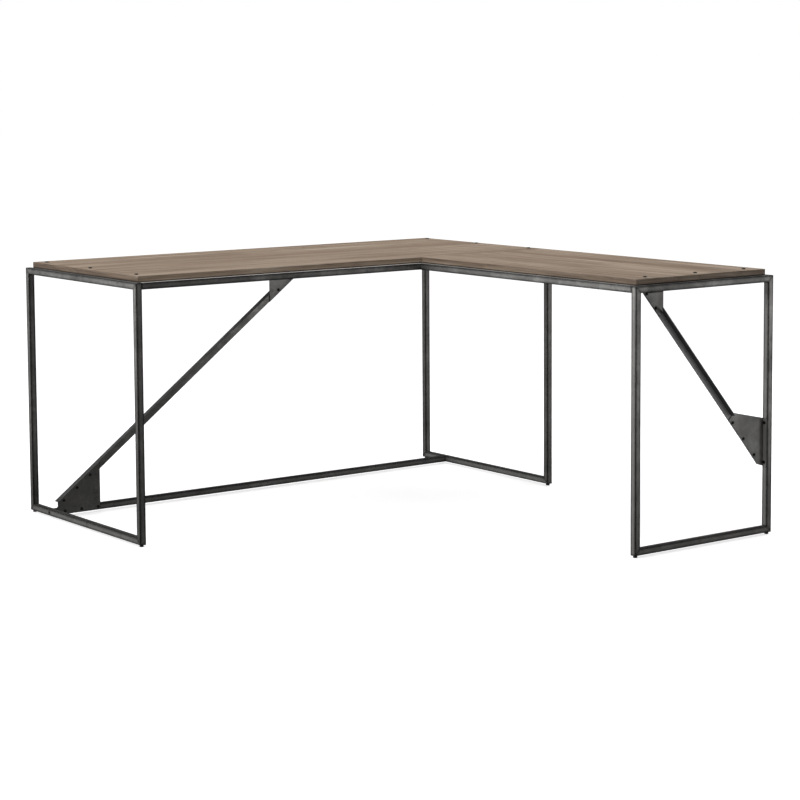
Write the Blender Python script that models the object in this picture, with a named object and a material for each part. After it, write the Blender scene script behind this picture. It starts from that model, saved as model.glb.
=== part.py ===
"""Corner desk: steel tube frames, angle braces on gusset plates, wood-look tops and screw-in feet."""

import math

import bmesh
import bpy
from mathutils import Matrix, Vector

# Overall sizes, metres. X runs along the main desk, -Y towards the return's free end, Z up.
HEIGHT = 0.762
X_LEFT, X_RIGHT = -0.759, 0.759
Y_BACK, Y_FRONT, Y_END = 0.8105, 0.1505, -0.8105
X_INNER = 0.231

# Steel sections.
TUBE = 0.019
WALL = 0.0015
CORNER = 0.0013
PLATE = 0.0025
ANGLE = 0.019
ANGLE_T = 0.002
GAP = 0.0003
BORE_PAST = 0.05

# Tops.
TOP_T = 0.017
TOP_INSET = 0.0165
TOP_EDGE = 0.0008
SEAM = 0.0005

# Levels of the frames, and the middle of the rear rail, stretcher and long brace.
FOOT_H = 0.006
Z_LOW = FOOT_H
Z_TOP = HEIGHT - TOP_T - GAP
Z_SILL = Z_LOW + TUBE / 2
Z_UNDER_RAIL = Z_TOP - TUBE - GAP
Y_REAR = 0.6915
Y_REAR_FACE = Y_REAR - TUBE / 2

# Feet.
PAD_R = 0.006
STEM_R = 0.003
STEM_HOLE_R = 0.0034
STEM_TOP = 0.030
FOOT_SIDES = 24

# Round-headed bolts: head radius, head height, shank radius.
TOP_BOLT = (0.006, 0.003, 0.0025)
PLATE_BOLT = (0.0045, 0.0026, 0.0022)
SILL_BOLT = (0.0034, 0.0022, 0.0020)
TOP_BOLT_LONG = 0.0225
PLATE_BOLT_LONG = 0.0092
END_BOLT_LONG = 0.0062
SILL_BOLT_LONG = 0.014
SILL_ACCESS_R = 0.0039
HOLE_CLEARANCE = 0.0003
BOLT_SIDES = 16

# Rows of bolts in the tops, and the tabs below them.
TOP_BOLT_X = 0.718
TOP_BOLT_ROWS = (0.218, 0.484, 0.750)
END_BOLT_Y = -0.7595
END_BOLT_ROW = (0.311, 0.501, 0.691)
TAB_REACH = 0.046
END_TAB_REACH = 0.056
TAB_WIDTH = 0.040
TAB_DROP = 0.0002
TAB_BURIED = 0.001

# Long brace and its two like gussets, X as offsets from the left frame's outer face.
BRACE_SLOPE = 0.7516
BRACE_LOW_X, BRACE_LOW_Z = 0.718, 0.5438
BRACE_START = 0.0245
GUSSET_LEFT, GUSSET_RIGHT, GUSSET_LOW = 0.0205, 0.1673, 0.0080
TURN = Vector((0.9582, 0.7523))
GUSSET_ROW = (0.047, 0.1035, 0.160)
GUSSET_ROW_Z = 0.0163
GUSSET_SLANT = (0.0440, 0.0890, 0.1340)

# Brace and gussets of the return's end frame, X as offsets from the left frame's outer face.
END_SLOPE = -1.1626
END_BASE = Vector((1.2541, 0.4640))
END_BACK = Y_END + TUBE
END_PLATE_BACK = END_BACK - ANGLE_T - GAP
END_FRONT = Y_END + 0.0006
TOP_GUSSET = ((1.0301, 0.7254), (1.1044, 0.7254), (1.1044, 0.6804), (1.0928, 0.6534))
LEG_GUSSET = ((1.3584, 0.3422), (1.3785, 0.3619), (1.4987, 0.3358), (1.4987, 0.1976), (1.4731, 0.2051))
TOP_TAB = (1.050, 1.088)
TOP_GUSSET_SLANT = (1.0418, 1.0767)
LEG_GUSSET_SLANT = (1.3738, 1.4168, 1.4601)
END_BOLT_INSET = 0.0062
END_BRACE_PAST = 0.0105
TOP_COPE = (-0.2551, -0.2747)
LEG_COPE_GAP = 0.0012
LEG_TAB_BOLTS = (0.2095, 0.3231)
LEG_TAB_BOLT_Y = Y_END + 0.0092

DESK = bpy.data.collections.new("corner_desk")
CUTTERS = bpy.data.collections.new("cutters")


def clear_scene():
    for old in list(bpy.data.objects):
        bpy.data.objects.remove(old, do_unlink=True)


def material(name, colour, roughness, metallic):
    made = bpy.data.materials.new(name)
    made.use_nodes = True
    shader = made.node_tree.nodes["Principled BSDF"]
    shader.inputs["Base Color"].default_value = (*colour, 1.0)
    shader.inputs["Roughness"].default_value = roughness
    shader.inputs["Metallic"].default_value = metallic
    made.diffuse_color = (*colour, 1.0)
    return made


def add(name, bm, look, collection=DESK):
    """Puts a finished mesh in the scene as one named piece."""
    bmesh.ops.recalc_face_normals(bm, faces=bm.faces)
    mesh = bpy.data.meshes.new(name)
    bm.to_mesh(mesh)
    bm.free()
    piece = bpy.data.objects.new(name, mesh)
    if look is not None:
        mesh.materials.append(look)
    collection.objects.link(piece)
    return piece


def boolean(piece, operation, tool):
    """Joins a mesh to a piece or takes it away, with the mesh kept as a hidden cutter."""
    cutter = add(f"cutter_{len(CUTTERS.objects)}", tool, None, CUTTERS)
    cutter.hide_render = True
    cutter.display_type = "WIRE"
    modifier = piece.modifiers.new(f"{operation}_{len(piece.modifiers)}", "BOOLEAN")
    modifier.operation = operation
    modifier.solver = "EXACT"
    modifier.object = cutter


def box(low, high):
    bm = bmesh.new()
    centre = (Vector(low) + Vector(high)) / 2
    size = Vector(high) - Vector(low)
    place = Matrix.Translation(centre) @ Matrix.Diagonal((*size, 1.0))
    bmesh.ops.create_cube(bm, size=1.0, matrix=place)
    return bm


def prism(outline, step):
    """Sweeps a closed outline of points along a straight step."""
    bm = bmesh.new()
    face = bm.faces.new([bm.verts.new(point) for point in outline])
    grown = bmesh.ops.extrude_face_region(bm, geom=[face])
    moved = [v for v in grown["geom"] if isinstance(v, bmesh.types.BMVert)]
    bmesh.ops.translate(bm, vec=step, verts=moved)
    return bm


def plate(outline, front, back):
    """A flat plate in an XZ plane, from an outline of (x, z) points."""
    return prism([(x, front, z) for x, z in outline], (0, back - front, 0))


def lathe(profile, seat, axis, sides):
    """Turns a profile of (radius, distance along the axis) round an axis that starts at seat."""
    bm = bmesh.new()
    points = [bm.verts.new((radius, 0, along)) for radius, along in profile]
    edges = [bm.edges.new(pair) for pair in zip(points, points[1:])]
    bmesh.ops.spin(
        bm, geom=points + edges, cent=(0, 0, 0), axis=(0, 0, 1), angle=math.tau, steps=sides, use_merge=True
    )
    bmesh.ops.remove_doubles(bm, verts=bm.verts, dist=1e-6)
    turn = Vector(axis).to_track_quat("Z", "Y").to_matrix().to_4x4()
    bmesh.ops.transform(bm, matrix=Matrix.Translation(seat) @ turn, verts=bm.verts)
    return bm


def cut_by_plane(bm, point, normal):
    """Removes what lies beyond a plane and closes the cut."""
    geometry = bm.verts[:] + bm.edges[:] + bm.faces[:]
    cut = bmesh.ops.bisect_plane(bm, geom=geometry, plane_co=point, plane_no=normal, clear_outer=True)
    rim = [e for e in cut["geom_cut"] if isinstance(e, bmesh.types.BMEdge)]
    bmesh.ops.edgeloop_fill(bm, edges=rim)


def tube(name, low, high, axis, look, planes=()):
    """A hollow square tube between two corners, its ends square or cut by the given planes."""
    bm = box(low, high)
    long_edges = [e for e in bm.edges if abs((e.verts[1].co - e.verts[0].co).normalized()[axis]) > 0.9]
    bmesh.ops.bevel(bm, geom=long_edges, offset=CORNER, segments=3, profile=0.5, affect="EDGES")
    for point, normal in planes:
        cut_by_plane(bm, point, normal)
    piece = add(name, bm, look)
    bore_low = [c + (-BORE_PAST if i == axis else WALL) for i, c in enumerate(low)]
    bore_high = [c + (BORE_PAST if i == axis else -WALL) for i, c in enumerate(high)]
    boolean(piece, "DIFFERENCE", box(bore_low, bore_high))
    return piece


def drill(piece, start, axis, radius, length):
    profile = ((0, 0), (radius, 0), (radius, length), (0, length))
    boolean(piece, "DIFFERENCE", lathe(profile, start, axis, BOLT_SIDES))


def bolt(name, face, axis, size, length, look, through=()):
    """A round-headed bolt seated on a face, its shank along axis, and the holes it needs."""
    axis = Vector(axis)
    head_r, head_h, shank_r = size
    profile = (
        (0, -head_h),
        (head_r * 0.62, -head_h * 0.92),
        (head_r, -head_h * 0.45),
        (head_r, 0),
        (shank_r, 0),
        (shank_r, length),
        (0, length),
    )
    seat = Vector(face) - axis * GAP
    piece = add(name, lathe(profile, (0, 0, 0), axis, BOLT_SIDES), look)
    piece.location = seat
    for held in through:
        start = seat - axis * GAP
        drill(held, start, axis, shank_r + HOLE_CLEARANCE, length + GAP + 0.001)
    return piece


def end_frame(prefix, ends, run_axis, across, start, stop, look):
    """A welded loop of four mitred tubes along X (0) or Y (1). It returns its tubes by place."""

    def at(run, side, z):
        return Vector((run, side, z)) if run_axis == 0 else Vector((side, run, z))

    def mitre(outer, level, run_way, up_way):
        normal = at(run_way, 0, up_way).normalized()
        return at(outer, across, level) - normal * GAP / 2, normal

    corners = ((start, 1), (stop, -1))
    levels = ((Z_TOP, 1), (Z_LOW, -1))
    pieces = {}
    for end, (outer, sign) in zip(ends, corners):
        inner = outer + sign * TUBE
        low = at(min(outer, inner), across, Z_LOW)
        high = at(max(outer, inner), across + TUBE, Z_TOP)
        planes = [mitre(outer, level, sign, up) for level, up in levels]
        pieces[end] = tube(f"{prefix}_{end}_leg", low, high, 2, look, planes)
    for place, (level, up) in zip(("top", "bottom"), levels):
        inner = level - up * TUBE
        low = at(start, across, min(level, inner))
        high = at(stop, across + TUBE, max(level, inner))
        planes = [mitre(outer, level, -sign, -up) for outer, sign in corners]
        pieces[place] = tube(f"{prefix}_{place}_tube", low, high, run_axis, look, planes)
    return pieces


def foot(name, x, y, tube_above, look):
    """A screw-in foot: its pad on the floor and its stem up in the frame's bottom tube."""
    top = FOOT_H - GAP
    profile = (
        (0, 0),
        (PAD_R - 0.0008, 0),
        (PAD_R, 0.0008),
        (PAD_R, top - 0.0005),
        (PAD_R - 0.0005, top),
        (STEM_R, top),
        (STEM_R, STEM_TOP),
        (0, STEM_TOP),
    )
    piece = add(name, lathe(profile, (0, 0, 0), (0, 0, 1), FOOT_SIDES), look)
    piece.location = (x, y, 0)
    drill(tube_above, (x, y, Z_LOW - 0.001), (0, 0, 1), STEM_HOLE_R, WALL + 0.002)


def add_tab(rail, low, high):
    """A flat tab on a rail, level with its top, for one of the bolts in a desk top."""
    drop = Z_TOP - TAB_DROP
    boolean(rail, "UNION", box((*low, drop - PLATE), (*high, drop)))


def build_tops(wood):
    tops = []
    for name, low_x, high_x, low_y, high_y in (
        ("main_top", X_LEFT + TOP_INSET, X_RIGHT - TOP_INSET, Y_FRONT + TOP_INSET, Y_BACK - TOP_INSET),
        ("return_top", X_INNER + TOP_INSET, X_RIGHT - TOP_INSET, Y_END + TOP_INSET, Y_FRONT + TOP_INSET - SEAM),
    ):
        bm = box((low_x, low_y, HEIGHT - TOP_T), (high_x, high_y, HEIGHT))
        bmesh.ops.bevel(bm, geom=bm.edges[:], offset=TOP_EDGE, segments=2, profile=0.5, affect="EDGES")
        tops.append(add(name, bm, wood))
    return tops


def build_top_bolts(main_top, return_top, left, right, end, dark):
    """The bolts down through the tops, each through a tab on the top tube of an end frame."""
    half = TAB_WIDTH / 2
    inner_left = X_LEFT + TUBE - TAB_BURIED
    inner_right = X_RIGHT - TUBE + TAB_BURIED
    inner_end = Y_END + TUBE - TAB_BURIED
    spots = []
    for i, y in enumerate(TOP_BOLT_ROWS):
        add_tab(left["top"], (inner_left, y - half), (X_LEFT + TUBE + TAB_REACH, y + half))
        add_tab(right["top"], (X_RIGHT - TUBE - TAB_REACH, y - half), (inner_right, y + half))
        spots.append((f"top_bolt_left_{i + 1}", -TOP_BOLT_X, y, main_top, left["top"]))
        spots.append((f"top_bolt_right_{i + 1}", TOP_BOLT_X, y, main_top, right["top"]))
    for i, x in enumerate(END_BOLT_ROW):
        add_tab(end["top"], (x - half, inner_end), (x + half, Y_END + TUBE + END_TAB_REACH))
        spots.append((f"top_bolt_end_{i + 1}", x, END_BOLT_Y, return_top, end["top"]))
    for name, x, y, top, tabbed in spots:
        bolt(name, (x, y, HEIGHT), (0, 0, -1), TOP_BOLT, TOP_BOLT_LONG, dark, (top, tabbed))


def long_brace_z(x):
    """Height of the long brace's lower edge at an offset x."""
    return BRACE_LOW_Z + BRACE_SLOPE * (x - BRACE_LOW_X)


def angle_bar(start, stop, rise, flange_y, turned_y):
    """An angle bar in an XZ plane. One flange lies flat and the other stands on its upper edge.

    start and stop are (x, z) ends of the lower edge and rise is the unit way to the upper edge.
    flange_y is the flat flange's outer face, and turned_y how far the standing one reaches.
    """
    inward = ANGLE_T if turned_y > flange_y else -ANGLE_T
    profile = (
        (0, flange_y),
        (ANGLE, flange_y),
        (ANGLE, turned_y),
        (ANGLE - ANGLE_T, turned_y),
        (ANGLE - ANGLE_T, flange_y + inward),
        (0, flange_y + inward),
    )
    outline = [(start.x + rise.x * v, y, start.y + rise.y * v) for v, y in profile]
    step = stop - start
    return prism(outline, (step.x, 0, step.y))


def build_long_brace(rear_rail, stretcher, steel, dark):
    """The long brace, its two like gussets and their bolts, in the plane of the stretcher."""
    run = Vector((1, BRACE_SLOPE)).normalized()
    rise = Vector((-run.y, run.x))
    upper = ANGLE / run.x
    shift = Vector((X_LEFT, 0))
    tip = Vector((BRACE_START, long_brace_z(BRACE_START) + upper))
    start = tip - rise * ANGLE
    stop = TURN - tip
    bar = angle_bar(start + shift, stop + shift, rise, Y_REAR_FACE, Y_REAR_FACE + ANGLE)
    brace = add("long_brace", bar, steel)

    back = Y_REAR_FACE - GAP
    front = back - PLATE
    outline = (
        (GUSSET_LEFT, GUSSET_LOW),
        (GUSSET_RIGHT, GUSSET_LOW),
        (GUSSET_RIGHT, long_brace_z(GUSSET_RIGHT) + upper),
        (GUSSET_LEFT + 0.0030, long_brace_z(GUSSET_LEFT + 0.0030) + upper),
        (GUSSET_LEFT + 0.0035, 0.0340),
        (GUSSET_LEFT, 0.0275),
    )
    for place, rail, turned in (("lower", stretcher, False), ("upper", rear_rail, True)):

        def spot(x, z, turned=turned):
            here = TURN - Vector((x, z)) if turned else Vector((x, z))
            return here + shift

        gusset = add(f"brace_{place}_gusset", plate([spot(x, z) for x, z in outline], front, back), steel)
        bolts = [(x, GUSSET_ROW_Z, rail) for x in GUSSET_ROW]
        bolts += [(x, long_brace_z(x) + upper / 2, brace) for x in GUSSET_SLANT]
        for i, (x, z, held) in enumerate(bolts):
            u, w = spot(x, z)
            name = f"brace_{place}_bolt_{i + 1}"
            bolt(name, (u, front, w), (0, 1, 0), PLATE_BOLT, PLATE_BOLT_LONG, dark, (gusset, held))


def build_end_brace(end, steel, dark):
    """The short brace of the return's end frame, with its two bent gussets and their bolts."""
    run = Vector((1, END_SLOPE)).normalized()
    rise = Vector((-run.y, run.x))
    shift = Vector((X_LEFT, 0))

    def on_brace(x, inset):
        """The point at offset x that lies an inset up from the brace's lower edge."""
        along = (x - END_BASE.x - inset * rise.x) / run.x
        return END_BASE + shift + run * along + rise * inset

    start = on_brace(TOP_GUSSET[0][0], 0) - run * ANGLE * 2
    stop = on_brace(LEG_GUSSET_SLANT[-1], 0) + run * END_BRACE_PAST
    bar = angle_bar(start, stop, rise, END_BACK, END_FRONT)
    cut_by_plane(bar, (0, 0, Z_UNDER_RAIL), (0, 0, 1))
    brace = add("end_brace", bar, steel)
    plate_front = END_PLATE_BACK - PLATE
    leg_cope = (Vector(LEG_GUSSET[1]) - END_BASE).dot(run) - LEG_COPE_GAP
    for (at_plate, at_front), far in ((TOP_COPE, -0.6), ((leg_cope, leg_cope), 0.4)):
        slot = (
            (at_plate, END_BACK - ANGLE_T),
            (at_plate, plate_front - GAP),
            (at_front, END_FRONT),
            (at_front, Y_END - 0.01),
            (far, Y_END - 0.01),
            (far, END_BACK - ANGLE_T),
        )
        low_edge = END_BASE + shift - rise * 0.01
        outline = [(low_edge.x + run.x * s, y, low_edge.y + run.y * s) for s, y in slot]
        boolean(brace, "DIFFERENCE", prism(outline, (rise.x * 0.06, 0, rise.y * 0.06)))

    under_rail = TOP_GUSSET[1][1]
    leg_top, leg_low = LEG_GUSSET[2], LEG_GUSSET[3]
    tabs = {
        "top": (
            (TOP_TAB[0] + X_LEFT, END_FRONT, under_rail - PLATE),
            (TOP_TAB[1] + X_LEFT, END_PLATE_BACK, under_rail),
        ),
        "leg": (
            (leg_low[0] + X_LEFT - PLATE, END_FRONT, leg_low[1]),
            (leg_top[0] + X_LEFT, END_PLATE_BACK, leg_top[1]),
        ),
    }
    gussets = {}
    for place, outline in (("top", TOP_GUSSET), ("leg", LEG_GUSSET)):
        flat = plate([(x + X_LEFT, z) for x, z in outline], plate_front, END_PLATE_BACK)
        gussets[place] = add(f"end_{place}_gusset", flat, steel)
        boolean(gussets[place], "UNION", box(*tabs[place]))
    for place, slant in (("top", TOP_GUSSET_SLANT), ("leg", LEG_GUSSET_SLANT)):
        for i, x in enumerate(slant):
            u, w = on_brace(x, END_BOLT_INSET)
            held = (gussets[place], brace)
            name = f"end_{place}_bolt_{i + 1}"
            bolt(name, (u, plate_front, w), (0, 1, 0), PLATE_BOLT, END_BOLT_LONG, dark, held)
    for i, z in enumerate(LEG_TAB_BOLTS):
        face = (leg_top[0] + X_LEFT - PLATE, LEG_TAB_BOLT_Y, z)
        held = (gussets["leg"], end["outer"])
        bolt(f"end_leg_tab_bolt_{i + 1}", face, (1, 0, 0), PLATE_BOLT, PLATE_BOLT_LONG, dark, held)


def build_rails(steel):
    left = X_LEFT + TUBE + GAP
    right = X_RIGHT - TUBE - GAP
    low, high = Z_TOP - TUBE, Z_TOP
    front = (Y_FRONT, Y_FRONT + TUBE)
    rear = (Y_REAR_FACE, Y_REAR_FACE + TUBE)
    side = (Y_END + TUBE + GAP, Y_FRONT - GAP)
    tube("front_rail", (left, front[0], low), (right, front[1], high), 0, steel)
    rear_rail = tube("rear_rail", (left, rear[0], low), (right, rear[1], high), 0, steel)
    stretcher = tube("stretcher", (left, rear[0], Z_LOW), (right, rear[1], Z_LOW + TUBE), 0, steel)
    tube("return_inner_rail", (X_INNER, side[0], low), (X_INNER + TUBE, side[1], high), 1, steel)
    tube("return_outer_rail", (X_RIGHT - TUBE, side[0], low), (X_RIGHT, side[1], high), 1, steel)
    return rear_rail, stretcher


def build_stretcher_bolt(bottom_tube, dark):
    """The stretcher's bolt: its head sits inside the left bottom tube, reached by a hole outside."""
    drill(bottom_tube, (X_LEFT - 0.001, Y_REAR, Z_SILL), (1, 0, 0), SILL_ACCESS_R, WALL + 0.002)
    seat = (X_LEFT + TUBE - WALL, Y_REAR, Z_SILL)
    bolt("stretcher_bolt", seat, (1, 0, 0), SILL_BOLT, SILL_BOLT_LONG, dark, (bottom_tube,))


def build_feet(left, right, end, black):
    mid = TUBE / 2
    for name, x, y, frame in (
        ("foot_left_front", X_LEFT + mid, Y_FRONT + mid, left),
        ("foot_left_back", X_LEFT + mid, Y_BACK - mid, left),
        ("foot_right_front", X_RIGHT - mid, Y_FRONT + mid, right),
        ("foot_right_back", X_RIGHT - mid, Y_BACK - mid, right),
        ("foot_return_inner", X_INNER + mid, Y_END + mid, end),
        ("foot_return_outer", X_RIGHT - mid, Y_END + mid, end),
    ):
        foot(name, x, y, frame["bottom"], black)


def main():
    clear_scene()
    bpy.context.scene.collection.children.link(DESK)
    bpy.context.scene.collection.children.link(CUTTERS)
    CUTTERS.hide_render = True
    steel = material("frame_steel", (0.13, 0.125, 0.12), 0.55, 0.8)
    wood = material("top_laminate", (0.33, 0.27, 0.215), 0.55, 0.0)
    dark = material("bolt_black", (0.03, 0.03, 0.03), 0.45, 0.8)
    black = material("foot_black", (0.02, 0.02, 0.02), 0.6, 0.0)

    left = end_frame("left", ("front", "back"), 1, X_LEFT, Y_FRONT, Y_BACK, steel)
    right = end_frame("right", ("front", "back"), 1, X_RIGHT - TUBE, Y_FRONT, Y_BACK, steel)
    end = end_frame("return", ("inner", "outer"), 0, Y_END, X_INNER, X_RIGHT, steel)
    rear_rail, stretcher = build_rails(steel)
    main_top, return_top = build_tops(wood)
    build_top_bolts(main_top, return_top, left, right, end, dark)
    build_long_brace(rear_rail, stretcher, steel, dark)
    build_end_brace(end, steel, dark)
    build_stretcher_bolt(left["bottom"], dark)
    build_feet(left, right, end, black)


main()
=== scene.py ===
"""The corner desk's looks: weathered steel with painted light and shade, wood-look tops, socket bolts,
feet, weld beads, and black strips of painted shade in the gaps under the tops.
"""

import math

import bmesh
import bpy
from mathutils import Matrix, Vector, noise


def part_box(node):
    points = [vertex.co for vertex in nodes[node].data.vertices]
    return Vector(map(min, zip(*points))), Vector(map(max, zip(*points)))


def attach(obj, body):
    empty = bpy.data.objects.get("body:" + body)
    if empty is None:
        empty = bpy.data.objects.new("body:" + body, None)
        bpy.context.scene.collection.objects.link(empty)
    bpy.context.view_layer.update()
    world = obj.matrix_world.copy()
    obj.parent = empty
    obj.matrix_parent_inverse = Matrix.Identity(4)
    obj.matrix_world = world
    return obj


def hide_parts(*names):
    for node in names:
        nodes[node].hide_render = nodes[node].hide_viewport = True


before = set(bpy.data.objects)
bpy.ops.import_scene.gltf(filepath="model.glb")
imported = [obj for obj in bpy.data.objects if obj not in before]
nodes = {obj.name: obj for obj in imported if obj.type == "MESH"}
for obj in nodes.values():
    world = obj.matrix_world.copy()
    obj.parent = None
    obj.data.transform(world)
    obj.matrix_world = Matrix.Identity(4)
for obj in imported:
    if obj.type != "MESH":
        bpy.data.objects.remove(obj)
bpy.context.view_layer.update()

MM = 0.001
X, Y, Z = range(3)
HALF_TUBE = 9.5 * MM
TUBE_CORNER = 1.3 * MM
TOPS = ("main_top", "return_top")
# The three end frames, each with the names of its two legs.
END_FRAMES = {"left": ("front", "back"), "right": ("front", "back"), "return": ("inner", "outer")}

# Steel, from its darkest patches to its lightest, and what lies on it, with the colours of painted light and
# shade.
STEEL_TONES = ((0.205, 0.202, 0.196), (0.320, 0.315, 0.305), (0.520, 0.512, 0.494))
STEEL_LIMIT = 0.75
GROUND_TONES = ((0.300, 0.294, 0.280), (0.500, 0.490, 0.470))
STAIN = (0.070, 0.069, 0.067)
# Pale dusting on faces that look up, and painted light on the tops of the rails.
DUST_AND_TOP_LIGHT = (0.800, 0.785, 0.755)
# Painted light on faces that look along X.
SIDE_LIGHT = (0.700, 0.690, 0.665)
# Painted shade on faces that look up.
UPWARD_SHADE = (0.035, 0.034, 0.032)
# Painted shade on all faces but those that look along Y.
SHADE = (0.045, 0.044, 0.042)
# Painted shade on edges and on a tube's rounded corners.
EDGE_SHADE = (0.012, 0.012, 0.011)
CHIPPED_EDGE = (0.300, 0.290, 0.280)

# Laminate, from its dark streaks to its pale ones, and what is drawn over them.
WOOD_TONES = (
    (0.38, (0.140, 0.096, 0.065)),
    (0.46, (0.268, 0.198, 0.143)),
    (0.53, (0.362, 0.278, 0.207)),
    (0.60, (0.515, 0.424, 0.335)),
)
WARM_WOOD = (0.335, 0.236, 0.163)
LATE_WOOD = (0.120, 0.083, 0.060)
PORE = (0.120, 0.088, 0.066)
FLECK = (0.460, 0.400, 0.340)
WOOD_EDGE = (0.085, 0.062, 0.048)
# Painted shadow along a board's lowest few millimetres.
WOOD_SHADOW = (0.030, 0.023, 0.018)

# Bolts, as shares of their head's radius, but for the stretcher's own head height.
SOCKET_WIDTH = 0.68
SHANK_RADIUS = 0.44
HEAD_HEIGHT = 0.58
TOP_HEAD_HEIGHT = 0.50
STRETCHER_HEAD_HEIGHT = 2.2 * MM

# A foot's pad from its sole up: shares of its radius, each with a height in millimetres. The grip is ribbed.
PAD_SOLE = ((0.62, 0.0), (0.88, 0.0), (0.97, 0.35), (1.0, 0.9), (1.0, 1.5))
PAD_GRIP = (1.9, 4.5)
PAD_SHOULDER = ((0.96, 5.0), (0.86, 5.45), (0.72, 5.7))
PAD_TOP = 5.7 * MM
PAD_SIDES, PAD_RIBS, RIB_DEPTH = 72, 18, 0.35 * MM
STEM_SEAT = 3.3 * MM

# The thread of a foot's stem.
PITCH, CORE, THREAD_DEPTH = 1.0 * MM, 2.45 * MM, 0.52 * MM
ROWS_A_TURN, STEM_SIDES = 6, 20

# A weld bead: half its width, how proud it stands, how much that ripples, and how deep its root is.
BEAD_HALF_WIDTH, BEAD_HEIGHT, BEAD_RIPPLE, BEAD_ROOT = 0.75 * MM, 0.16 * MM, 0.10 * MM, 0.30 * MM

# Each softbox: its name, its place, the point it faces, its width and height, and its watts.
SOFTBOXES = (
    ("softbox_top", (0.0, 0.3, 3.4), (0.0, 0.3, 0.0), 5.0, 5.0, 126),
    ("softbox_left", (-4.3, 1.6, 1.7), (0.1, -0.1, 0.4), 3.0, 2.2, 84),
    ("softbox_low", (-2.9, 2.9, 0.55), (0.0, -0.2, 0.4), 1.6, 1.0, 5),
    ("softbox_back", (-1.0, 4.4, 2.2), (0.0, 0.2, 0.4), 2.4, 2.0, 11),
    ("softbox_right", (4.1, 0.0, 1.5), (0.2, 0.2, 0.4), 2.4, 2.0, 38),
    ("softbox_front", (2.2, -2.4, 0.55), (0.75, -0.8, 0.35), 1.2, 1.1, 4.5),
    ("softbox_fill", (-2.6, -3.8, 1.2), (0.0, -0.2, 0.4), 1.8, 1.4, 4),
)
WORLD_LIGHT = 0.06

# The camera: its place in metres, its turn in degrees, and its lens and sensor in millimetres.
CAMERA_PLACE = (-3.827, -5.187, 1.319)
CAMERA_YAW, CAMERA_PITCH, CAMERA_ROLL = 36.723, -5.321, -0.342
CAMERA_LENS, CAMERA_SENSOR, CAMERA_SHIFT = 99.63, 36.0, -0.15


# ---------------------------------------------------------------- node helpers


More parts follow.
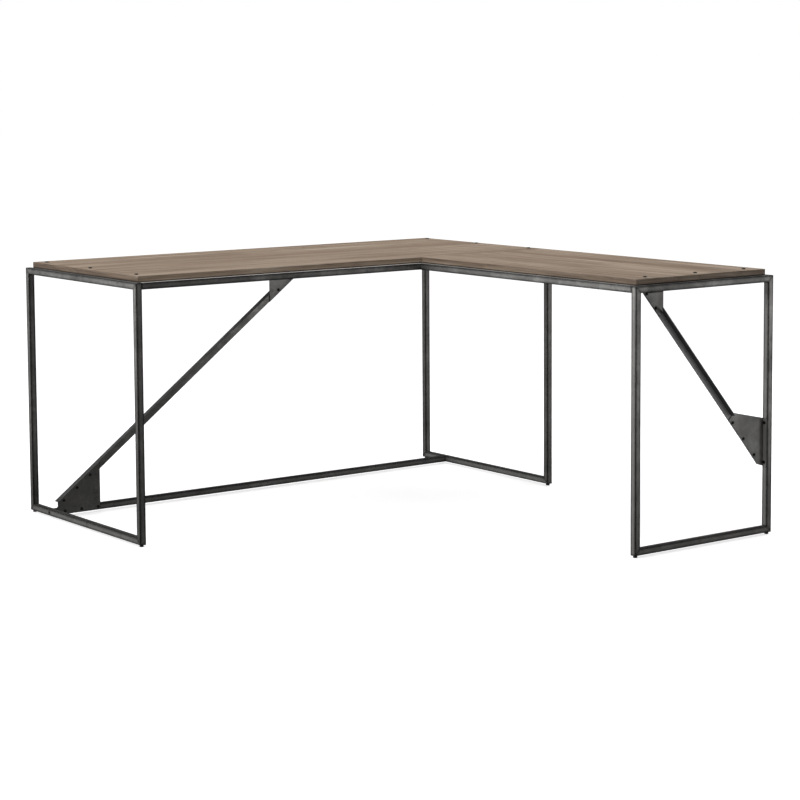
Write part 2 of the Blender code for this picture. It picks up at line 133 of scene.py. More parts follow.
class Tree:
    """A short way to write a material's nodes."""

    def __init__(self, name):
        self.material = bpy.data.materials.new(name)
        self.material.use_nodes = True
        self.nodes = self.material.node_tree.nodes
        self.links = self.material.node_tree.links
        self.shader = self.nodes["Principled BSDF"]
        self.place = self.new("ShaderNodeTexCoord").outputs["Object"]

    def feed(self, socket, value):
        """Links another node's output to the socket, or sets its value. A colour may leave out its alpha."""
        if isinstance(value, bpy.types.NodeSocket):
            self.links.new(value, socket)
        elif isinstance(value, tuple) and socket.type == "RGBA":
            socket.default_value = (*value, 1.0)
        else:
            socket.default_value = value

    def new(self, kind, inputs=None, **settings):
        node = self.nodes.new(kind)
        for key, value in settings.items():
            setattr(node, key, value)
        for key, value in (inputs or {}).items():
            self.feed(node.inputs[key], value)
        return node

    def scaled(self, scale=(1, 1, 1), offset=(0, 0, 0)):
        """The place on the object, scaled and then moved."""
        inputs = {"Vector": self.place, "Scale": scale, "Location": offset}
        return self.new("ShaderNodeMapping", inputs).outputs["Vector"]

    def noise(self, vector, scale=1.0, detail=4.0, roughness=0.55, distortion=0.0):
        inputs = {
            "Vector": vector,
            "Scale": scale,
            "Detail": detail,
            "Roughness": roughness,
            "Distortion": distortion,
        }
        return self.new("ShaderNodeTexNoise", inputs).outputs["Fac"]

    def ramp(self, value, stops):
        """A colour from the value, by way of stops that are each a position and a colour."""
        node = self.new("ShaderNodeValToRGB", {"Fac": value})
        elements = node.color_ramp.elements
        while len(elements) < len(stops):
            elements.new(0.5)
        for element, (position, colour) in zip(elements, stops):
            element.position = position
            element.color = (*colour, 1.0)
        return node.outputs["Color"]

    def remap(self, value, low, high, to_low=0.0, to_high=1.0, smooth=False):
        """The value, so that low becomes to_low and high becomes to_high, with nothing outside those."""
        inputs = {"Value": value, "From Min": low, "From Max": high, "To Min": to_low, "To Max": to_high}
        kind = "SMOOTHSTEP" if smooth else "LINEAR"
        return self.new("ShaderNodeMapRange", inputs, interpolation_type=kind, clamp=True).outputs[0]

    def maths(self, operation, a, b=0.0):
        return self.new("ShaderNodeMath", {0: a, 1: b}, operation=operation).outputs[0]

    def vector_maths(self, operation, inputs, output="Vector"):
        return self.new("ShaderNodeVectorMath", inputs, operation=operation).outputs[output]

    def weighted(self, *terms):
        """The sum of (value, weight) pairs."""
        total = None
        for value, weight in terms:
            part = self.maths("MULTIPLY", value, weight)
            total = part if total is None else self.maths("ADD", total, part)
        return total

    def mix(self, factor, a, b):
        """The colour or vector a where the factor is 0, and b where it is 1."""
        node = self.new("ShaderNodeMix", data_type="RGBA")
        for key, value in (("Factor", factor), ("A", a), ("B", b)):
            self.feed(next(s for s in node.inputs if s.name == key and s.enabled), value)
        return next(s for s in node.outputs if s.enabled)

    def cover(self, colour, mask, amount, over):
        """The colour with another laid over it where the mask is 1, that amount of it."""
        return self.mix(self.maths("MULTIPLY", mask, amount), colour, over)

    def bump(self, height, distance, strength=0.5):
        inputs = {"Height": height, "Distance": distance, "Strength": strength}
        return self.new("ShaderNodeBump", inputs).outputs["Normal"]

    def finish(self, colour, roughness, metallic, normal=None):
        sockets = self.shader.inputs
        self.feed(sockets["Base Color"], colour)
        self.feed(sockets["Roughness"], roughness)
        self.feed(sockets["Metallic"], metallic)
        if normal is not None:
            self.feed(sockets["Normal"], normal)
        return self.material

    def true_normal(self, folded=True):
        """The X, Y and Z of the face's own normal, folded so that none is negative."""
        normal = self.new("ShaderNodeNewGeometry").outputs["True Normal"]
        if folded:
            normal = self.vector_maths("ABSOLUTE", {0: normal})
        return self.new("ShaderNodeSeparateXYZ", {"Vector": normal}).outputs

    def edge_wear_and_shade(self, radius):
        """1 on edges, 0 on flats, from how the rounded normal leaves the true one."""
        rounded = self.new("ShaderNodeBevel", {"Radius": radius}, samples=6).outputs["Normal"]
        true = self.new("ShaderNodeNewGeometry").outputs["True Normal"]
        return self.remap(self.vector_maths("DOT_PRODUCT", {0: rounded, 1: true}, "Value"), 0.997, 0.95)

    def end_faces(self, axis):
        """1 on faces that look along that axis, 0 on the rest."""
        return self.remap(self.true_normal()[axis], 0.6, 0.8)

    def facing_up(self):
        """1 on faces that look up, 0 on the rest."""
        return self.remap(self.true_normal(folded=False)["Z"], 0.85, 0.98)

    def turned(self, vector):
        """The vector with its X and Y swapped."""
        parts = self.new("ShaderNodeSeparateXYZ", {"Vector": vector}).outputs
        inputs = {"X": parts["Y"], "Y": parts["X"], "Z": parts["Z"]}
        return self.new("ShaderNodeCombineXYZ", inputs).outputs["Vector"]


# ---------------------------------------------------------------- materials


def steel_tone(tree, brushed):
    """Patches, blotches and faint drawing lines as one value, and then the last two on their own."""
    patches = tree.noise(tree.scaled(), scale=7, detail=4, roughness=0.55, distortion=0.4)
    blotches = tree.noise(tree.scaled(offset=(3, 1, 7)), scale=34, detail=6, roughness=0.62, distortion=0.6)
    changes_a_metre = [260.0, 260.0, 260.0]
    if brushed is not None:
        changes_a_metre[brushed] = 7.0
    lines = tree.noise(tree.scaled(tuple(changes_a_metre)), detail=3, roughness=0.6)
    return tree.weighted((patches, 0.50), (blotches, 0.30), (lines, 0.20)), blotches, lines


def weld_mask(tree):
    """1 near the end frames' welded corners and 0 away from them, with a ragged border."""
    low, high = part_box("left_front_leg")
    middle, half = (low.z + high.z) / 2, (high.z - low.z) / 2
    parts = tree.new("ShaderNodeSeparateXYZ", {"Vector": tree.place}).outputs
    fold = tree.maths("ABSOLUTE", tree.maths("SUBTRACT", parts["Z"], middle))
    inputs = {"X": parts["X"], "Y": parts["Y"], "Z": fold}
    folded = tree.new("ShaderNodeCombineXYZ", inputs).outputs["Vector"]
    nearest = None
    for leg in (f"{end}_{leg}_leg" for end, legs in END_FRAMES.items() for leg in legs):
        low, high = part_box(leg)
        corner = ((low.x + high.x) / 2, (low.y + high.y) / 2, half - HALF_TUBE)
        away = tree.vector_maths("DISTANCE", {0: folded, 1: corner}, "Value")
        nearest = away if nearest is None else tree.maths("MINIMUM", nearest, away)
    ragged = tree.noise(tree.scaled(), scale=60, detail=3)
    shaken = tree.maths("ADD", nearest, tree.remap(ragged, 0.3, 0.7, -12 * MM, 12 * MM))
    return tree.remap(shaken, 42 * MM, 20 * MM, smooth=True)


def ground_welds(tree, colour):
    """The colour with paler ground metal near the welded corners."""
    grit = tree.noise(tree.scaled(offset=(5, 5, 5)), scale=220, detail=4)
    ground = tree.ramp(grit, tuple(zip((0.35, 0.65), GROUND_TONES)))
    return tree.cover(colour, weld_mask(tree), 0.50, ground)


def stains(tree):
    """Sparse round water marks: a soft dark spot with a darker rim."""
    warped = tree.noise(tree.scaled(offset=(2, 2, 6)), scale=90, detail=2)
    spots = tree.new("ShaderNodeTexVoronoi", {"Vector": tree.scaled(offset=(4, 8, 1)), "Scale": 25.0})
    away = tree.maths("ADD", spots.outputs["Distance"], tree.remap(warped, 0.3, 0.7, -0.07, 0.07))
    inside = tree.remap(away, 0.27, 0.15, smooth=True)
    rim = tree.remap(tree.maths("ABSOLUTE", tree.maths("SUBTRACT", away, 0.20)), 0.06, 0.0, smooth=True)
    broken = tree.remap(tree.noise(tree.scaled(), scale=140, detail=3), 0.35, 0.60)
    mark = tree.maths("MULTIPLY", tree.weighted((inside, 0.60), (rim, 0.40)), broken)
    chosen = tree.new("ShaderNodeSeparateColor", {"Color": spots.outputs["Color"]}).outputs[0]
    return tree.maths("MULTIPLY", mark, tree.remap(chosen, 0.60, 0.90))


def off_square(tree):
    """1 on the rounded corners of a square tube, whose faces look along no axis."""
    parts = tree.true_normal()
    most = tree.maths("MAXIMUM", tree.maths("MAXIMUM", parts["X"], parts["Y"]), parts["Z"])
    return tree.remap(most, 0.995, 0.97)


def shaded_and_chipped_edges(tree, colour, square):
    """The colour with painted shade on its edges, chipped here and there. On a tube they are its rounded
    corners.
    """
    rim = tree.edge_wear_and_shade((7.5 if square else 2.4) * MM)
    if square:
        rim = tree.maths("MAXIMUM", rim, off_square(tree))
    colour = tree.cover(colour, rim, 0.93, EDGE_SHADE)
    chips = tree.remap(tree.noise(tree.scaled(offset=(9, 2, 4)), scale=160, detail=4), 0.62, 0.70)
    chips = tree.maths("MULTIPLY", chips, tree.remap(rim, 0.70, 1.0))
    return tree.cover(colour, chips, 0.25, CHIPPED_EDGE)


def steel(
    name,
    brushed,
    welds=False,
    square=True,
    dust_and_top_light=0.13,
    painted_light_scale=1.0,
    metal=0.85,
    side=0.0,
    shaded=0.0,
    upward_shade=0.0,
):
    """Weathered steel under clear coat.

    brushed is the axis of its faint drawing lines, or None. welds adds ground metal round the corners of
    the frames, and square is for tubes, whose own corners are rounded. bright scales the steel's tones, which
    paints a part lighter or darker, and metal is its metallic share. dusty is how much pale haze lies on the
    faces that look up, which is painted light where it is heavy, as on the rails. side is how much pale haze
    lies on those that look along X, and that is painted light. grimy and shaded are how much painted shade
    darkens the faces that look up and all but those that look along Y. The edges get painted shade as well.
    """
    tree = Tree(name)
    tone, blotches, lines = steel_tone(tree, brushed)
    # Scaling the tones paints a part lighter or darker.
    tones = [tuple(min(STEEL_LIMIT, painted_light_scale * part) for part in colour) for colour in STEEL_TONES]
    colour = tree.ramp(tone, tuple(zip((0.36, 0.50, 0.66), tones)))
    if welds:
        colour = ground_welds(tree, colour)
    colour = tree.cover(colour, stains(tree), 0.50, STAIN)

    upward = tree.facing_up()
    # Pale dusting on the faces that look up; where it is heavy, as on the rails, it is painted light.
    dust_and_painted_light = tree.maths("MULTIPLY", upward, tree.remap(blotches, 0.30, 0.55, dust_and_top_light * 0.75, dust_and_top_light))
    colour = tree.mix(dust_and_painted_light, colour, DUST_AND_TOP_LIGHT)
    # Painted light on the faces that look along X.
    if side:
        side_lit = tree.maths("MULTIPLY", tree.end_faces(X), side)
        colour = tree.mix(side_lit, colour, SIDE_LIGHT)
        dust_and_painted_light = tree.maths("MAXIMUM", dust_and_painted_light, side_lit)
    # Painted shade on the faces that look up.
    if upward_shade:
        colour = tree.cover(colour, upward, upward_shade, UPWARD_SHADE)
    # Painted shade on all faces but those that look along Y.
    if shaded:
        colour = tree.cover(colour, tree.maths("SUBTRACT", 1.0, tree.end_faces(Y)), shaded, SHADE)
    colour = shaded_and_chipped_edges(tree, colour, square)

    rough = tree.remap(tone, 0.35, 0.65, 0.46, 0.34)
    rough = tree.maths("MAXIMUM", rough, tree.maths("MULTIPLY", upward, 0.85))
    fine = tree.noise(tree.scaled(), scale=900, detail=3)
    relief = tree.bump(tree.weighted((lines, 0.6), (fine, 0.4)), 0.06 * MM)
    return tree.finish(colour, rough, tree.remap(dust_and_painted_light, 0.0, 0.9, metal, 0.20), relief)


def grain(tree, along, length, width, offset=(0, 0, 0), detail=2, roughness=0.55, distortion=0.0):
    """Noise with about that many changes a metre along the grain and across it."""
    scale = [width, width, width]
    scale[along] = length
    place = tree.scaled(tuple(scale), offset)
    return tree.noise(place, detail=detail, roughness=roughness, distortion=distortion)


def bend_grain(tree, along):
    """Makes the grain that is drawn from here on sway from side to side."""
    sway = tree.remap(grain(tree, along, 1.1, 5.0), 0.2, 0.8, -12 * MM, 12 * MM)
    aside = Y if along == X else X
    bend = tree.new("ShaderNodeCombineXYZ", {aside: sway}).outputs["Vector"]
    tree.place = tree.vector_maths("ADD", {0: tree.place, 1: bend})


def late_wood(tree, along, streaks):
    """How much the dark lines where growth rings end are to show, which is most in dark streaks."""
    contours = grain(tree, along, 0.9, 11.0, (3, 9, 5), roughness=0.5, distortion=0.9)
    rings = tree.maths("FRACT", tree.maths("MULTIPLY", contours, 17.0))
    lines = tree.maths("MULTIPLY", tree.remap(rings, 0.45, 0.95), tree.remap(rings, 1.0, 0.95))
    return tree.maths("MULTIPLY", lines, tree.remap(streaks, 0.62, 0.40, 0.10, 0.45))


def worn_rim_and_shadow(tree, colour, level):
    """A board's colour with dark edges, and with painted shadow along its lowest few millimetres."""
    colour = tree.cover(colour, tree.edge_wear_and_shade(1.0 * MM), 0.45, WOOD_EDGE)
    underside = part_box("main_top")[0].z
    height = tree.new("ShaderNodeSeparateXYZ", {"Vector": level}).outputs["Z"]
    shadow_band = tree.remap(height, underside + 3.8 * MM, underside + 2.0 * MM)
    return tree.cover(colour, shadow_band, 0.85, WOOD_SHADOW)


def laminate(name, along):
    """Wood-look laminate with its grain along X or Y, turned on the faces that look that way."""
    tree = Tree(name)
    level = tree.place
    tree.place = tree.mix(tree.end_faces(along), level, tree.turned(level))
    cross = grain(tree, along, 90.0, 60.0)
    patches = grain(tree, along, 2.2, 24.0, (6, 1, 3), detail=3)
    bend_grain(tree, along)
    broad = grain(tree, along, 0.8, 13.0, (2, 5, 1), detail=3, distortion=0.3)
    streaks = grain(tree, along, 1.9, 58.0, (7, 3, 2), detail=6, roughness=0.66, distortion=0.25)
    fine = grain(tree, along, 6.0, 330.0, (1, 8, 4), detail=4, roughness=0.6)
    pores = grain(tree, along, 34.0, 1500.0, (4, 4, 9), roughness=0.5)

    tone = tree.weighted((broad, 0.30), (streaks, 0.48), (fine, 0.22))
    colour = tree.ramp(tone, WOOD_TONES)
    colour = tree.cover(colour, tree.remap(patches, 0.48, 0.70), 0.35, WARM_WOOD)
    colour = tree.mix(late_wood(tree, along, streaks), colour, LATE_WOOD)
    pits = tree.maths("MULTIPLY", tree.remap(pores, 0.60, 0.74), tree.remap(streaks, 0.60, 0.40))
    colour = tree.cover(colour, pits, 0.55, PORE)
    colour = tree.cover(colour, tree.remap(cross, 0.62, 0.72), 0.10, FLECK)
    colour = worn_rim_and_shadow(tree, colour, level)

    tree.shader.inputs["Specular IOR Level"].default_value = 0.25
    relief = tree.bump(tree.weighted((fine, 0.5), (pits, -0.5)), 0.10 * MM)
    return tree.finish(colour, tree.remap(tone, 0.35, 0.65, 0.62, 0.50), 0.0, relief)


def speckled(name, specks, tones, roughness, metallic, relief, detail=4, edge=None):
    """A finish with that many specks a metre, in two tones, with a paler colour on its edges if one is given.

    roughness is for the dark tone and the light one. relief is the depth and strength of its bumps.
    """
    tree = Tree(name)
    tone = tree.noise(tree.scaled(), scale=specks, detail=detail, roughness=0.6)
    colour = tree.ramp(tone, tuple(zip((0.35, 0.65), tones)))
    if edge:
        colour = tree.cover(colour, tree.edge_wear_and_shade(0.5 * MM), 0.7, edge)
    rough = tree.remap(tone, 0.35, 0.65, *roughness)
    return tree.finish(colour, rough, metallic, tree.bump(tone, *relief))


def floor_look():
    """A pale floor that glows more the farther it is from the desk, so that it has no horizon."""
    tree = Tree("studio_floor")
    tones = ((0.3, (0.86, 0.86, 0.86)), (0.7, (0.90, 0.90, 0.90)))
    patches = tree.noise(tree.scaled(), scale=3, detail=3)
    tree.finish(tree.ramp(patches, tones), roughness=0.9, metallic=0.0)
    away = tree.vector_maths("LENGTH", {0: tree.place}, "Value")
    sockets = tree.shader.inputs
    sockets["Specular IOR Level"].default_value = 0.0
    sockets["Emission Color"].default_value = (1, 1, 1, 1)
    tree.feed(sockets["Emission Strength"], tree.remap(away, 1.8, 6.0, 0.66, 1.0, smooth=True))
    return tree.material


def backdrop_look():
    """Plain white light."""
    material = bpy.data.materials.new("studio_backdrop")
    material.use_nodes = True
    tree = material.node_tree
    tree.nodes.clear()
    emission = tree.nodes.new("ShaderNodeEmission")
    emission.inputs["Strength"].default_value = 1.0
    output = tree.nodes.new("ShaderNodeOutputMaterial")
    tree.links.new(emission.outputs["Emission"], output.inputs["Surface"])
    return material


# A look for each kind of CAD node, and one for the stems of the feet. A kind that starts with "return_" or
# "end_" is for nodes that do too.
# The steel looks below differ mostly in painted light and shade: lighter and darker copies of one steel, a
# pale painted top on the rails, painted shade on the tops of the lower tubes and stretcher, shaded flanges on
# the braces, and painted light on the return end's faces that look along X.
LOOKS = {
    "rail": steel("weathered_steel_x", X, dust_and_top_light=0.9, painted_light_scale=0.76),
    "stretcher": steel("weathered_steel_x_low", X, dust_and_top_light=0.0, upward_shade=0.85),
    "return_rail": steel("weathered_steel_y", Y),
    "leg": steel("weathered_steel_z", Z, welds=True),
    "return_leg": steel("weathered_steel_z_end", Z, welds=True, side=0.3),
    "return_top_tube": steel("weathered_steel_x_top", X, welds=True, dust_and_top_light=0.0, painted_light_scale=0.66, upward_shade=0.35),
    "top_tube": steel("weathered_steel_y_top", Y, welds=True, dust_and_top_light=0.0, painted_light_scale=0.84, upward_shade=0.40),
    "return_bottom_tube": steel("weathered_steel_x_bottom", X, welds=True, dust_and_top_light=0.0, painted_light_scale=1.1, upward_shade=0.85),
    "bottom_tube": steel("weathered_steel_y_bottom", Y, welds=True, dust_and_top_light=0.0, painted_light_scale=1.75, upward_shade=0.85),
    "gusset": steel("weathered_plate", None, square=False, painted_light_scale=0.9),
    "end_gusset": steel("weathered_end_plate", None, square=False, painted_light_scale=0.9, metal=0.7, side=0.9),
    "brace": steel("weathered_angle", X, square=False, painted_light_scale=0.98, shaded=0.88),
    "end_brace": steel("weathered_end_angle", X, square=False, painted_light_scale=2.6, metal=0.15, shaded=0.85),
    "main_top": laminate("laminate_along_x", X),
    "return_top": laminate("laminate_along_y", Y),
    "bolt": speckled(
        "black_oxide",
        420,
        ((0.016, 0.016, 0.015), (0.050, 0.048, 0.045)),
        roughness=(0.40, 0.28),
        metallic=0.9,
        relief=(0.03 * MM, 0.4),
        detail=5,
        edge=(0.20, 0.195, 0.185),
    ),
    "foot": speckled(
        "moulded_black",
        700,
        ((0.013, 0.013, 0.013), (0.034, 0.033, 0.032)),
        roughness=(0.70, 0.55),
        metallic=0.0,
        relief=(0.04 * MM, 0.5),
    ),
    "zinc": speckled(
        "zinc_plate",
        300,
        ((0.22, 0.22, 0.215), (0.36, 0.355, 0.34)),
        roughness=(0.42, 0.30),
        metallic=1.0,
        relief=(0.02 * MM, 0.4),
    ),
}
KINDS = ("main_top", "return_top", "top_tube", "bottom_tube", "rail", "leg", "stretcher", "gusset", "brace")


def look_of(name):
    """The look of a CAD node, from its name."""
    if "bolt" in name:
        return LOOKS["bolt"]
    if name.startswith("foot_"):
        return LOOKS["foot"]
    kind = next(kind for kind in KINDS if name.endswith(kind))
    special = f"{name.split('_')[0]}_{kind}"
    return LOOKS.get(special, LOOKS[kind])


def dress_cad_nodes():
    for name, piece in nodes.items():
        piece.data.materials.clear()
        piece.data.materials.append(look_of(name))


# ---------------------------------------------------------------- new pieces


def new_piece(name, bm, looks, body, replaced=(), smooth=40):
    """Puts a finished mesh in the scene, riding on a CAD body. Its edges are sharp past smooth degrees."""
    bmesh.ops.recalc_face_normals(bm, faces=bm.faces)
    mesh = bpy.data.meshes.new(name)
    bm.to_mesh(mesh)
    bm.free()
    for look in looks:
        mesh.materials.append(look)
    piece = bpy.data.objects.new(name, mesh)
    bpy.context.scene.collection.objects.link(piece)
    mesh.shade_smooth()
    mesh.set_sharp_from_angle(angle=math.radians(smooth))
    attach(piece, body)
    if replaced:
        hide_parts(*replaced)


def loft(bm, rings, material=0):
    """Joins rings of points, each with the same count, into a skin with closed ends."""
    made = [[bm.verts.new(p) for p in ring] for ring in rings]
    count = len(made[0])
    for first, second in zip(made, made[1:]):
        for i in range(count):
            j = (i + 1) % count
            bm.faces.new((first[i], first[j], second[j], second[i])).material_index = material
    for ring in (made[0], made[-1]):
        bm.faces.new(ring).material_index = material


def circle(radius, height, sides):
    angles = [math.tau * i / sides for i in range(sides)]
    return [Vector((radius * math.cos(angle), radius * math.sin(angle), height)) for angle in angles]


def hexagon(across, height, sides):
    """Points on a hexagon of that width across its flats, as many as a circle's."""
    points = []
    for i in range(sides):
        angle = math.tau * i / sides
        from_flat = (angle + math.pi / 6) % (math.pi / 3) - math.pi / 6
        radius = across / 2 / math.cos(from_flat)
        points.append(Vector((radius * math.cos(angle), radius * math.sin(angle), height)))
    return points


def bolt_seat(name):
    """Where a CAD bolt's head starts and the way it points, with its length, head radius and head height."""
    low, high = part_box(name)
    size, middle = high - low, (low + high) / 2
    if name.startswith("top_bolt"):
        radius = size.x / 2
        seat = Vector((middle.x, middle.y, high.z))
        return seat, Vector((0, 0, -1)), size.z, radius, radius * TOP_HEAD_HEIGHT
    if name.startswith(("end_leg_tab", "stretcher")):
        radius = size.y / 2
        height = STRETCHER_HEAD_HEIGHT if name.startswith("stretcher") else radius * HEAD_HEIGHT
        return Vector((low.x, middle.y, middle.z)), Vector((1, 0, 0)), size.x, radius, height
    radius = size.x / 2
    seat = Vector((middle.x, low.y, middle.z))
    return seat, Vector((0, 1, 0)), size.y, radius, radius * HEAD_HEIGHT


def bolt_rings(length, radius, height):
    """The rings of a button head with a hexagon socket, from the socket's floor round to the shank's tip."""
    across, shank, sides = radius * SOCKET_WIDTH, radius * SHANK_RADIUS, 36
    rings = [
        hexagon(across * 0.96, height * 0.62, sides),
        hexagon(across, height * 0.10, sides),
        circle(radius * 0.50, height * 0.02, sides),
    ]
    # The dome, from the socket's rim out to the head's widest ring.
    steps = 8
    for i in range(steps + 1):
        angle = math.radians(12 + 72 * i / steps)
        reach = 0.50 + 0.50 * math.sin(angle * 1.06)
        rings.append(circle(radius * reach, height * (1 - math.cos(angle)) * 0.98, sides))
    rings.append(circle(radius, height * 0.97, sides))
    rings.append(circle(radius * 0.97, height, sides))
    rings.append(circle(shank, height, sides))
    rings.append(circle(shank, length - 0.5 * MM, sides))
    rings.append(circle(shank * 0.8, length, sides))
    return rings


def socket_bolt(name, count):
    """A button-head socket bolt in place of a plain CAD bolt, on the same axis and no larger."""
    seat, axis, length, radius, height = bolt_seat(name)
    bm = bmesh.new()
    loft(bm, bolt_rings(length, radius, height))
    along_axis = axis.to_track_quat("Z", "Y").to_matrix().to_4x4()
    # Each socket is turned on from the one before.
    spin = Matrix.Rotation(count * 0.7, 4, "Z")
    bmesh.ops.transform(bm, matrix=Matrix.Translation(seat) @ along_axis @ spin, verts=bm.verts)
    new_piece("socket_" + name, bm, [LOOKS["bolt"]], "desk", (name,), smooth=30)


def ribbed(radius, height, sides):
    """A circle with shallow grooves between its ribs."""
    ring = []
    for i in range(sides):
        angle = math.tau * i / sides
        grooved = radius - RIB_DEPTH * (0.5 - 0.5 * math.cos(angle * PAD_RIBS))
        ring.append(Vector((grooved * math.cos(angle), grooved * math.sin(angle), height)))
    return ring


def foot_pad(radius):
    """The rings of a moulded pad, from its sole to the seat of its stem."""
    rings = [circle(radius * share, height * MM, PAD_SIDES) for share, height in PAD_SOLE]
    rings += [ribbed(radius, height * MM, PAD_SIDES) for height in PAD_GRIP]
    rings += [circle(radius * share, height * MM, PAD_SIDES) for share, height in PAD_SHOULDER]
    rings.append(circle(STEM_SEAT, PAD_TOP, PAD_SIDES))
    return rings


def threaded_stem(bottom, top):
    """The rings of a threaded stem that starts just inside the pad. Its thread fades out at its top."""
    rows = int((top - bottom) / (PITCH / ROWS_A_TURN))
    sunk = 0.2 * MM
    rings = []
    for row in range(rows + 1):
        z = bottom - sunk + (top - bottom + sunk) * row / rows
        fade = min(1.0, (top - z) / (1.2 * MM))
        ring = []
        for i in range(STEM_SIDES):
            angle = math.tau * i / STEM_SIDES
            phase = (z / PITCH - i / STEM_SIDES) % 1.0
            radius = CORE + THREAD_DEPTH * (1 - abs(2 * phase - 1)) * fade
            ring.append(Vector((radius * math.cos(angle), radius * math.sin(angle), z)))
        rings.append(ring)
    return rings


def levelling_foot(name):
    """A moulded pad with a ribbed grip on a threaded zinc stem."""
    low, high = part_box(name)
    bm = bmesh.new()
    loft(bm, foot_pad((high.x - low.x) / 2))
    loft(bm, threaded_stem(PAD_TOP, high.z - low.z), material=1)
    bmesh.ops.translate(bm, vec=((low.x + high.x) / 2, (low.y + high.y) / 2, low.z), verts=bm.verts)
    looks = [LOOKS["foot"], LOOKS["zinc"]]
    new_piece("levelling_" + name, bm, looks, name, (name,), smooth=35)


def rounded_square(half, radius, steps, arc):
    """Points round a square with rounded corners, each with the way out of the square there."""
    flat = half - radius
    path = []
    for quarter in range(4):
        turn = Matrix.Rotation(math.pi / 2 * quarter, 2)
        side = [((half, flat * (2 * i / steps - 1)), (1.0, 0.0)) for i in range(steps)]
        for i in range(arc):
            x, y = math.cos(math.pi / 2 * i / arc), math.sin(math.pi / 2 * i / arc)
            side.append(((flat + radius * x, flat + radius * y), (x, y)))
        path += [(turn @ Vector(spot), turn @ Vector(way)) for spot, way in side]
    return path


def mitre_of(leg, tube, top):
    """The middle of a leg's mitre with a tube, and the directions out of the corner and across the tube."""
    low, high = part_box(leg)
    middle = (low + high) / 2
    middle.z = high.z - HALF_TUBE if top else low.z + HALF_TUBE
    tube_low, tube_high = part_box(tube)
    reach = (tube_low + tube_high) / 2 - middle
    if tube_high.x - tube_low.x > tube_high.y - tube_low.y:
        inward = Vector((math.copysign(1, reach.x), 0, 0))
    else:
        inward = Vector((0, math.copysign(1, reach.y), 0))
    up = Vector((0, 0, 1 if top else -1))
    out = (up - inward).normalized()
    return middle, out, out.cross((up + inward).normalized()).normalized()


def weld_bead(name, leg, tube, top):
    """A low ground bead round the mitre where a frame's leg meets its top or bottom tube."""
    low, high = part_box(leg)
    middle, out, across = mitre_of(leg, tube, top)
    normal = out.cross(across)
    sides = 8
    bm = bmesh.new()
    made = []
    for spot, way in rounded_square((high.x - low.x) / 2, TUBE_CORNER, steps=18, arc=6):
        place = middle + out * (spot.x * math.sqrt(2)) + across * spot.y
        away = (out * way.x + across * way.y).normalized()
        height = BEAD_HEIGHT + BEAD_RIPPLE * noise.noise(place * 900)
        ring = []
        for k in range(sides):
            angle = math.tau * k / sides
            side = BEAD_HALF_WIDTH * math.sin(angle)
            proud = height * math.cos(angle)
            if proud < 0:
                proud -= BEAD_ROOT
            # The frame's outer edge falls away on both sides of the mitre, and the bead with it.
            fall = abs(side) * max(0.0, way.x)
            ring.append(bm.verts.new(place + away * (proud - fall) + normal * side))
        made.append(ring)
    for i, ring in enumerate(made):
        after = made[(i + 1) % len(made)]
        for k in range(sides):
            j = (k + 1) % sides
            bm.faces.new((ring[k], ring[j], after[j], after[k]))
    new_piece(name, bm, [LOOKS["gusset"]], "desk", smooth=60)


def gap_shade_strips(board):
    """Thin black strips in the gap between a top and each tube or rail that it lies on, as painted shade."""
    low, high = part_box(board)
    inset, sunk = 0.5 * MM, 0.04 * MM
    bm = bmesh.new()
    for name in sorted(n for n in nodes if n.endswith(("_tube", "_rail"))):
        under_low, under_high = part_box(name)
        gap = low.z - under_high.z
        start = [max(low[i], under_low[i]) + inset for i in (X, Y)]
        stop = [min(high[i], under_high[i]) - inset for i in (X, Y)]
        size = [stop[i] - start[i] for i in (X, Y)]
        if not 0 < gap < 1.0 * MM or min(size) < 0.5 * MM:
            continue
        middle = [(start[i] + stop[i]) / 2 for i in (X, Y)]
        made = bmesh.ops.create_cube(bm, size=1.0)["verts"]
        bmesh.ops.scale(bm, vec=(*size, gap + sunk), verts=made)
        bmesh.ops.translate(bm, vec=(*middle, (low.z + under_high.z) / 2), verts=made)
    new_piece("gap_shade_" + board, bm, [LOOKS["foot"]], "desk")


def build_pieces():
    for count, name in enumerate(sorted(n for n in nodes if "bolt" in n)):
        socket_bolt(name, count)
    for name in sorted(n for n in nodes if n.startswith("foot_")):
        levelling_foot(name)
    for board in TOPS:
        gap_shade_strips(board)
    for end, legs in END_FRAMES.items():
        for leg in legs:
            for place in ("top", "bottom"):
                bead = f"weld_{end}_{leg}_{place}"
                weld_bead(bead, f"{end}_{leg}_leg", f"{end}_{place}_tube", place == "top")


# ---------------------------------------------------------------- stage, light and camera


def stage_piece(name, bm, look, height=0.0):
    """A piece of the studio that only the camera sees."""
    mesh = bpy.data.meshes.new(name)
    bm.to_mesh(mesh)
    bm.free()
    mesh.materials.append(look)
    piece = bpy.data.objects.new(name, mesh)
    piece.location.z = height
    bpy.context.scene.collection.objects.link(piece)
    piece.visible_diffuse = False
    piece.visible_glossy = False
    piece.visible_transmission = False
    piece.visible_shadow = False


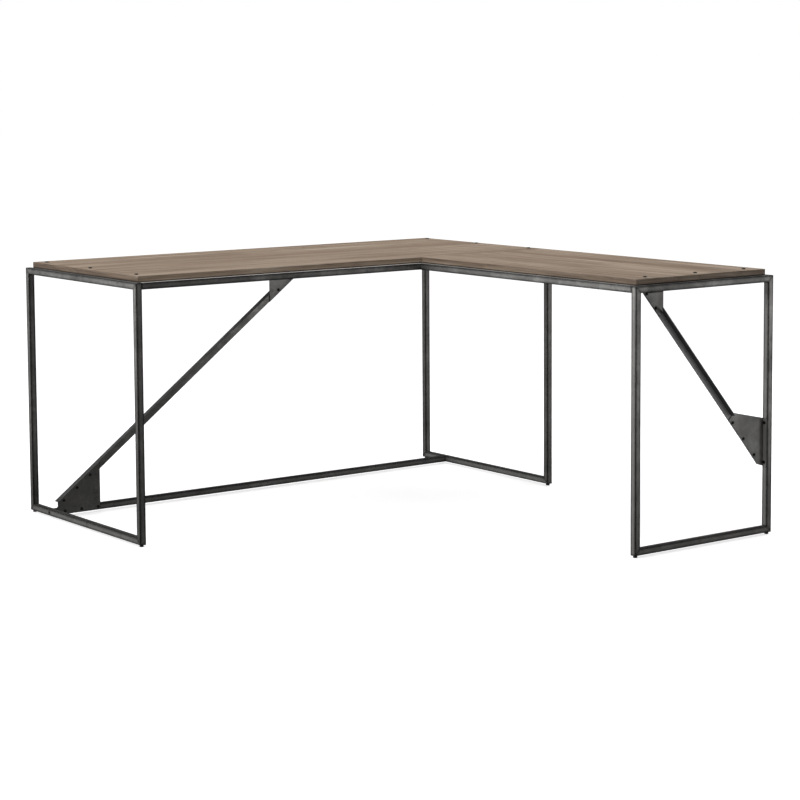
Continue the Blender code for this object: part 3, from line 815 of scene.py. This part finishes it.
def build_stage():
    """A wide round floor just under the feet, inside a white sphere."""
    bm = bmesh.new()
    bmesh.ops.create_circle(bm, cap_ends=True, cap_tris=True, segments=96, radius=45)
    stage_piece("studio_floor", bm, floor_look(), -0.5 * MM)
    bm = bmesh.new()
    bmesh.ops.create_uvsphere(bm, u_segments=48, v_segments=24, radius=60)
    stage_piece("studio_backdrop", bm, backdrop_look())


def softbox(name, place, target, width, height, power):
    data = bpy.data.lights.new(name, "AREA")
    data.shape = "RECTANGLE"
    data.size = width
    data.size_y = height
    data.energy = power
    lamp = bpy.data.objects.new(name, data)
    lamp.location = place
    lamp.rotation_euler = (Vector(target) - Vector(place)).to_track_quat("-Z", "Y").to_euler()
    lamp.visible_camera = False
    bpy.context.scene.collection.objects.link(lamp)


def build_lights():
    world = bpy.data.worlds.new("studio")
    world.use_nodes = True
    background = world.node_tree.nodes["Background"]
    background.inputs["Color"].default_value = (1, 1, 1, 1)
    background.inputs["Strength"].default_value = WORLD_LIGHT
    bpy.context.scene.world = world
    for values in SOFTBOXES:
        softbox(*values)


def build_camera():
    """A camera far off the desk's left front corner, a little above the tops."""
    data = bpy.data.cameras.new("camera")
    data.sensor_width = CAMERA_SENSOR
    data.lens = CAMERA_LENS
    data.shift_y = CAMERA_SHIFT
    data.clip_end = 200.0
    yaw, pitch, roll = (math.radians(angle) for angle in (CAMERA_YAW, CAMERA_PITCH, CAMERA_ROLL))
    ahead = Vector((math.sin(yaw) * math.cos(pitch), math.cos(yaw) * math.cos(pitch), math.sin(pitch)))
    level = Vector((math.cos(yaw), -math.sin(yaw), 0))
    above = level.cross(ahead)
    right = level * math.cos(roll) + above * math.sin(roll)
    up = above * math.cos(roll) - level * math.sin(roll)
    camera = bpy.data.objects.new("camera", data)
    turn = Matrix((right, up, -ahead)).transposed().to_4x4()
    camera.matrix_world = Matrix.Translation(CAMERA_PLACE) @ turn
    bpy.context.scene.collection.objects.link(camera)
    bpy.context.scene.camera = camera


bpy.context.scene.view_settings.view_transform = "Standard"
dress_cad_nodes()
build_pieces()
build_stage()
build_lights()
build_camera()
